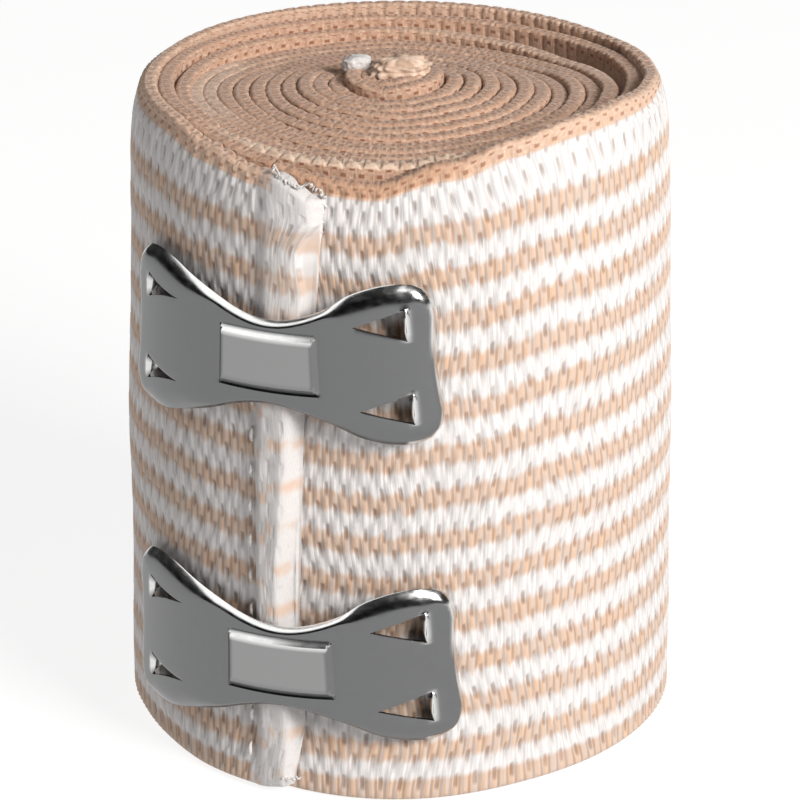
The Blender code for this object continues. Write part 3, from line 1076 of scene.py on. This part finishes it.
def spread(anchors, steps):
    """Values evenly spaced between each pair of anchors."""
    parts = [np.linspace(a, b, n + 1)[:-1] for a, b, n in zip(anchors[:-1], anchors[1:], steps)]
    return np.concatenate(parts + [anchors[-1:]])


# %% [markdown]
# The rows of the grid squeeze together at the apex of each window and open to its base, so
# the three-sided hole is a block of whole faces. They also bunch up near the rim, where the
# plate curls over.


# %% Lines of the flat grid
ROW_STEPS = (5, 2, 1, 2, 4, 3, 8)
WINDOW_ROWS = (10, 14)
COLUMN_STEPS = (14, 2, 1, 9, 14, 4)
CORNER_STEPS = 10


def clip_rows(share, half):
    """Heights of one column's rows, from the middle line up to the edge."""
    curl = np.linspace(1.0, 0.0, ROW_STEPS[-1] + 1)[1:] ** 1.6
    if share > WINDOW_BASE:
        base_half = float(clip_outline(WINDOW_BASE))
        inner = clip_rows(WINDOW_BASE, base_half)[: -ROW_STEPS[-1]] * half / base_half
        return np.concatenate((inner, half - (half - inner[-1]) * curl))
    places = (WINDOW_APEX - 0.12, WINDOW_APEX, WINDOW_BASE)
    opened = np.interp(share, places, (0.35 * MM, 0.0, WINDOW_HALF_BASE))
    blend = float(smooth((share - PANEL_AT) / 0.17))
    third = max(half - rim_width(share) - GROOVE_HALF_HEIGHT, 0.6 * MM) / 3
    low = GROOVE_HALF_HEIGHT + third
    high = low + third
    low = low + (WINDOW_OFFSET - opened - low) * blend
    high = high + (WINDOW_OFFSET + opened - high) * blend
    panel = np.array((PANEL_HALF_HEIGHT - PANEL_BEVEL, PANEL_HALF_HEIGHT, GROOVE_HALF_HEIGHT))
    panel = panel * (1.0 - 0.32 * blend)
    start = max(half - rim_width(share), high + 0.25 * MM)
    rows = spread(np.array((0.0, *panel, low, high, start)), ROW_STEPS[:-1])
    return np.concatenate((rows, half - (half - start) * curl))


def clip_columns(half_length):
    """Shares of the half length for the columns, with the window's first and last column."""
    corner = 1.0 - CORNER_RADIUS / half_length
    bevel = PANEL_BEVEL / half_length
    panel = (PANEL_AT - bevel, PANEL_AT, PANEL_AT + bevel * 0.7)
    anchors = np.array((0.0, *panel, WINDOW_APEX, WINDOW_BASE, corner))
    turned = np.linspace(0.0, math.pi / 2, CORNER_STEPS + 1)[1:]
    rounded = corner + (1.0 - corner) * np.sin(turned)
    shares = np.concatenate((spread(anchors, COLUMN_STEPS), rounded))
    return shares, (sum(COLUMN_STEPS[:4]), sum(COLUMN_STEPS[:5]))


def edge_distance(points, outline):
    """Shortest distance from each point of the flat plate to its outline."""
    start, end = outline, np.roll(outline, -1, axis=0)
    run = end - start
    offset = points[:, None, :] - start[None, :, :]
    share = np.clip((offset * run).sum(-1) / np.maximum((run * run).sum(-1), 1e-14), 0.0, 1.0)
    return np.sqrt(((offset - share[..., None] * run) ** 2).sum(-1)).min(axis=1)


# %% Bend a flat clip round the roll
def clip_place(along, up, out, clip, half_length):
    """A point of the flat clip, carried onto its curve over the cloth."""
    _, _, left, right, middle, tilt = clip
    angle = (left + right) / 2 + along / half_length * (right - left) / 2
    height = middle + up + along / half_length * tilt / 2
    fall = np.where(angle < CLIP_PEAK_ANGLE, CLIP_FALLS[0], CLIP_FALLS[1])
    radius = wall_radius(height) + CLIP_STANDOFF - fall * (angle - CLIP_PEAK_ANGLE) ** 2 + out
    turn = np.radians(angle)
    return np.stack((radius * np.sin(turn), -radius * np.cos(turn), height), axis=-1)


def add_tooth(bm, base, side):
    """Bend a tongue inward from the base edge of a window, narrowing it to a point."""
    edges = base
    middle = sum(v.co.y for e in base for v in e.verts) / (2 * len(base))
    base_point = base[0].verts[0].co.copy()
    steps = [math.radians(a) for a in TOOTH_TURNS] + [None, None]
    for count, turned in enumerate(steps):
        made = bmesh.ops.extrude_edge_only(bm, edges=edges)["geom"]
        verts = [g for g in made if isinstance(g, bmesh.types.BMVert)]
        edges = [g for g in made if isinstance(g, bmesh.types.BMEdge)]
        edges = [e for e in edges if e.verts[0] in verts and e.verts[1] in verts]
        narrow = 1.0 - (count + 1) / (len(steps) + 0.3)
        narrow = narrow / (1.0 - count / (len(steps) + 0.3))
        for vert in verts:
            vert.co.y = middle + (vert.co.y - middle) * narrow
            if turned is not None:
                vert.co.x = base_point.x - side * TOOTH_BEND * math.sin(turned)
                vert.co.z = base_point.z - TOOTH_BEND * (1 - math.cos(turned))
            else:
                vert.co.z -= TOOTH_LENGTH / 2
                vert.co.x -= side * 0.12 * MM


# %% The flat grid of a clip
def flat_clip(half_length):
    """The grid's points on the flat plate, and the columns that bound its windows."""
    shares, window = clip_columns(half_length)
    corner = 1.0 - CORNER_RADIUS / half_length
    turned = np.arcsin(np.clip((shares - corner) / (1.0 - corner), 0.0, 1.0))
    halves = clip_outline(shares) - CORNER_RADIUS * (1.0 - np.cos(turned))
    upper = np.array([clip_rows(share, half) for share, half in zip(shares, halves)])
    rows = np.concatenate((-upper[:, :0:-1], upper), axis=1)
    flat_up = np.concatenate((rows[:0:-1], rows), axis=0)
    signed = np.concatenate((-shares[:0:-1], shares))
    signed = np.broadcast_to(signed[:, None], flat_up.shape)
    share = np.abs(signed)
    along = signed * half_length
    hollow = END_HOLLOW * (1.0 - np.clip(flat_up / END_HALF, -1, 1) ** 2)
    along -= np.sign(along) * hollow * smooth((share - WINDOW_BASE) / (1 - WINDOW_BASE))
    along += PANEL_SHIFT * half_length * (1.0 - smooth((share - 0.3) / 0.25))
    along -= CLIP_SHEAR * flat_up * smooth((signed + 0.1) / 0.6)
    near = 1.0 - smooth((share - PANEL_AT) / 0.15)
    near = near * (1.0 - smooth((np.abs(flat_up) - GROOVE_HALF_HEIGHT) / (0.7 * MM)))
    up = flat_up + PANEL_LIFT * near
    shut = LEFT_WINDOW_SHUT * (1.0 - smooth((signed + WINDOW_APEX) / 0.1))
    shut = shut * bump(np.abs(up), WINDOW_OFFSET, 3.2 * MM)
    up = up - np.sign(up) * shut * (np.abs(up) - WINDOW_OFFSET)
    return signed, along, up, flat_up, window


# %% Rim, panel and painted highlights of a clip
def clip_relief(signed, along, up, flat_up, half_length):
    """How far each point of the plate stands out, and how much painted highlight it gets."""
    flat = np.stack((along, up), axis=-1)
    outline = np.concatenate((flat[:, 0], flat[-1, 1:], flat[-2::-1, -1], flat[0, -2:0:-1]))
    edge = edge_distance(flat.reshape(-1, 2), outline).reshape(up.shape)
    share = np.abs(signed)
    lobe = smooth((share - 0.3) / 0.3)
    drop = RIM_DROP[0] + (RIM_DROP[1] - RIM_DROP[0]) * lobe
    power = RIM_POWER[0] + (RIM_POWER[1] - RIM_POWER[0]) * lobe
    out = STEEL_FACE - drop * np.clip(1.0 - edge / rim_width(share), 0.0, 1.0) ** power
    hinge = np.exp(-(((share - WINDOW_BASE) * half_length / HINGE_REACH) ** 2))
    half_base = WINDOW_HALF_BASE * (1.0 - LEFT_WINDOW_SHUT * (signed < 0)) + 0.3 * MM
    hinge = hinge * smooth((half_base - np.abs(np.abs(up) - WINDOW_OFFSET)) / (0.5 * MM))
    out = out + HINGE_RISE * hinge
    inside_up = (PANEL_HALF_HEIGHT - np.abs(flat_up)) / PANEL_BEVEL
    inside_along = (PANEL_AT - share) * half_length / PANEL_BEVEL
    inside = np.clip(np.minimum(inside_up, inside_along), -1.0, 1.0)
    out = out + np.where(inside >= 0, -GROOVE + (PANEL_RISE + GROOVE) * inside, 0.0)
    groove = GROOVE_WIDTH / PANEL_BEVEL
    out = out - np.where((inside < 0) & (inside > -groove), GROOVE * (1 + inside / groove), 0.0)
    # painted highlight: the upper rim, the panel's upper bevels, the hinges and the right end's
    # edge are lit up in the colour
    band = np.minimum(0.8 * rim_width(share), 0.9 * MM)
    shine = smooth((band - edge) / (0.5 * band)) * smooth(up / (3 * MM))
    bevel_shine = np.where(up > 0, 1.0, 0.1) * (inside_up < inside_along + 0.4)
    shine = np.maximum(shine, np.where(inside >= 1.0, 0.2, np.where(inside > 0, bevel_shine, 0.0)))
    right_end = smooth((0.5 * MM - edge) / (0.2 * MM)) * (along > 0.8 * half_length)
    return out, np.maximum(shine, 0.9 * np.maximum(hinge, right_end))


# %% Cut the windows of a clip
def cut_windows(bm, cell, window):
    """Cut the windows out and return, for each, the edges that its tooth hangs from."""
    cut, bases = [], {}
    for face in bm.faces:
        across = sum(cell[v][0] for v in face.verts) / 4
        level = sum(cell[v][1] for v in face.verts) / 4
        if window[0] < abs(across) < window[1] and WINDOW_ROWS[0] < abs(level) < WINDOW_ROWS[1]:
            cut.append(face)
    for e in bm.edges:
        ends = [cell[v] for v in e.verts]
        if abs(ends[0][0]) == window[1] and ends[0][0] == ends[1][0]:
            levels = [abs(end[1]) for end in ends]
            if WINDOW_ROWS[0] <= min(levels) and max(levels) <= WINDOW_ROWS[1]:
                key = (1 if ends[0][0] > 0 else -1, ends[0][1] > 0)
                bases.setdefault(key, []).append(e)
    bmesh.ops.delete(bm, geom=cut, context="FACES_ONLY")
    return bases


# %% Wall and worn edges of a clip
def give_wall(made):
    """Give the plate its thickness inward and take the sharpness off its edges."""
    thick = made.modifiers.new("steel", "SOLIDIFY")
    thick.thickness = STEEL_THICKNESS
    thick.offset = -1.0
    round_edge = made.modifiers.new("worn_edge", "BEVEL")
    round_edge.width = WORN_EDGE
    round_edge.segments = 2
    round_edge.limit_method = "ANGLE"
    round_edge.angle_limit = math.radians(50)


# %% One clip, then both
def add_clip(clip):
    """One clip: flat grid, rim and panel, windows, teeth, then the bend."""
    name, _, left, right, _, _ = clip
    half_length = math.radians((right - left) / 2) * (FOOT_RADIUS + CLIP_STANDOFF)
    signed, along, up, flat_up, window = flat_clip(half_length)
    out, shine = clip_relief(signed, along, up, flat_up, half_length)
    columns, count = up.shape
    middle_column, middle_row = columns // 2, count // 2
    bm = bmesh.new()
    bmesh.ops.create_grid(bm, x_segments=columns - 1, y_segments=count - 1, size=0.5)
    painted_highlight = bm.verts.layers.float.new("painted_highlight")
    cell = {}  # each point's column and row, counted from the middle of the plate
    for vert in bm.verts:
        column = round((vert.co.x + 0.5) * (columns - 1))
        row = round((vert.co.y + 0.5) * (count - 1))
        cell[vert] = (column - middle_column, row - middle_row)
        vert.co = (along[column, row], up[column, row], out[column, row])
        vert[painted_highlight] = shine[column, row]
    for (side, _), base in cut_windows(bm, cell, window).items():
        add_tooth(bm, base, side)
    bmesh.ops.delete(bm, geom=[e for e in bm.edges if e.is_wire], context="EDGES")
    bmesh.ops.delete(bm, geom=[v for v in bm.verts if not v.link_faces], context="VERTS")
    bmesh.ops.remove_doubles(bm, verts=bm.verts[:], dist=0.01 * MM)
    bmesh.ops.recalc_face_normals(bm, faces=bm.faces[:])
    flat = np.array([vert.co[:] for vert in bm.verts])
    for vert, point in zip(bm.verts, clip_place(*flat.T, clip, half_length)):
        vert.co = point
    front = max(bm.faces, key=lambda f: f.calc_area())
    outward = front.calc_center_median() * Vector((1.0, 1.0, 0.0))
    if front.normal.dot(outward) < 0:
        bmesh.ops.reverse_faces(bm, faces=bm.faces[:])
    made = finish_mesh(name, bm)
    made.data.set_sharp_from_angle(angle=math.radians(20))
    give_wall(made)
    return made


clips = [add_clip(clip) for clip in CLIPS]

# %% [markdown]
# ## Steel
# Nickel-plated steel with a fine grain. Its dark base colour is a painted reflection of the dark
# room it mirrors. The upper bevels of the panel, the upper part of the rim, the hinges of the
# teeth and the right end's edge get a painted highlight, by an attribute of the mesh, and the
# panel's face a faint one.

# %% Steel material
# painted reflection: a dark base colour standing in for the dark room that the steel mirrors
DARK_REFLECTION_STEEL = (0.175, 0.177, 0.178)
HIGHLIGHT_STEEL = (0.78, 0.78, 0.77)
STEEL_GRAINS = (900.0, 900.0, 1500.0)
steel, steel_tree, steel_shader = new_material("plated_steel")
grain = object_grain(steel_tree, STEEL_GRAINS, 3.0)
darker = tuple(0.93 * channel for channel in DARK_REFLECTION_STEEL)
lighter = tuple(1.06 * channel for channel in DARK_REFLECTION_STEEL)
highlight_node = steel_tree.nodes.new("ShaderNodeAttribute")
highlight_node.attribute_name = "painted_highlight"
# the painted highlight attribute brightens the steel's colour
plain = blend_colour(grain, darker, lighter)
highlighted_steel = blend_colour(highlight_node.outputs["Fac"], plain, HIGHLIGHT_STEEL)
feed(steel_shader.inputs["Base Color"], highlighted_steel)
feed(steel_shader.inputs["Roughness"], fade(grain, 0.3, 0.7, 0.17, 0.26))
add_bump(steel_shader, grain, 0.02, 0.02 * MM)
steel_shader.inputs["Metallic"].default_value = 1.0
for clip in clips:
    clip.data.materials.append(steel)
print("clips:", [clip.name for clip in clips])

# %% [markdown]
# ## Floor and light
# A plain pale floor, a soft light from the upper right and a weak, broad one above the left.

# %% Floor, lights and background
FLOOR_SIZE = 6.0
FLOOR_GREY = (0.18, 0.18, 0.18)
FLOOR_GLOW = 0.85
WHITE = (1.0, 1.0, 1.0)
KEY_COLOUR = (1.0, 0.985, 0.965)
KEY_PLACE = (0.52, -0.55, 0.50)
KEY_POWER = 12.2
TOP_PLACE = (-0.35, -0.12, 0.80)
TOP_TURN = -24
TOP_POWER = 2.15
ROOM_STRENGTH = 0.015
bm = bmesh.new()
bmesh.ops.create_grid(bm, x_segments=1, y_segments=1, size=FLOOR_SIZE / 2)
floor = finish_mesh("floor", bm)
floor_material, _, floor_shader = new_material("pale_floor")
feed(floor_shader.inputs["Base Color"], FLOOR_GREY)
feed(floor_shader.inputs["Roughness"], 0.9)
feed(floor_shader.inputs["Emission Color"], WHITE)
feed(floor_shader.inputs["Emission Strength"], FLOOR_GLOW)
floor.data.materials.append(floor_material)


def soft_light(name, place_at, aim, size, power, colour=WHITE):
    """A rectangular area light that faces a point."""
    data = bpy.data.lights.new(name, "AREA")
    data.shape = "RECTANGLE"
    data.size, data.size_y = size
    data.energy = power
    data.color = colour
    lamp = bpy.data.objects.new(name, data)
    lamp.location = place_at
    lamp.rotation_euler = (Vector(aim) - Vector(place_at)).to_track_quat("-Z", "Y").to_euler()
    bpy.context.scene.collection.objects.link(lamp)
    return lamp


middle = (cad_low + cad_high) / 2
soft_light("key_light", KEY_PLACE, middle, (0.36, 0.36), KEY_POWER, KEY_COLOUR)
top_light = soft_light("top_light", TOP_PLACE, middle, (1.0, 0.5), TOP_POWER)
top_light.rotation_euler = (0.0, math.radians(TOP_TURN), 0.0)

world = bpy.data.worlds.new("studio")
world.use_nodes = True
background = world.node_tree.nodes["Background"]
feed(background.inputs["Color"], WHITE)
feed(background.inputs["Strength"], ROOM_STRENGTH)
bpy.context.scene.world = world
bpy.context.scene.view_settings.view_transform = "Standard"

# %% [markdown]
# ## Hand the pieces to the frame
# Every piece rides on the one body, and the solid it stands for is hidden.

# %% Ride and replace
for piece in (wound_turns, outer_turn, loose_end, stitches, frayed, inner_end, inner_scrap):
    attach(piece, "root")
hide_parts("wound_roll")
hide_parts("wound_roll")
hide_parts("loose_end")
for piece, clip in zip(clips, CLIPS):
    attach(piece, "root")
    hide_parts(clip[1])
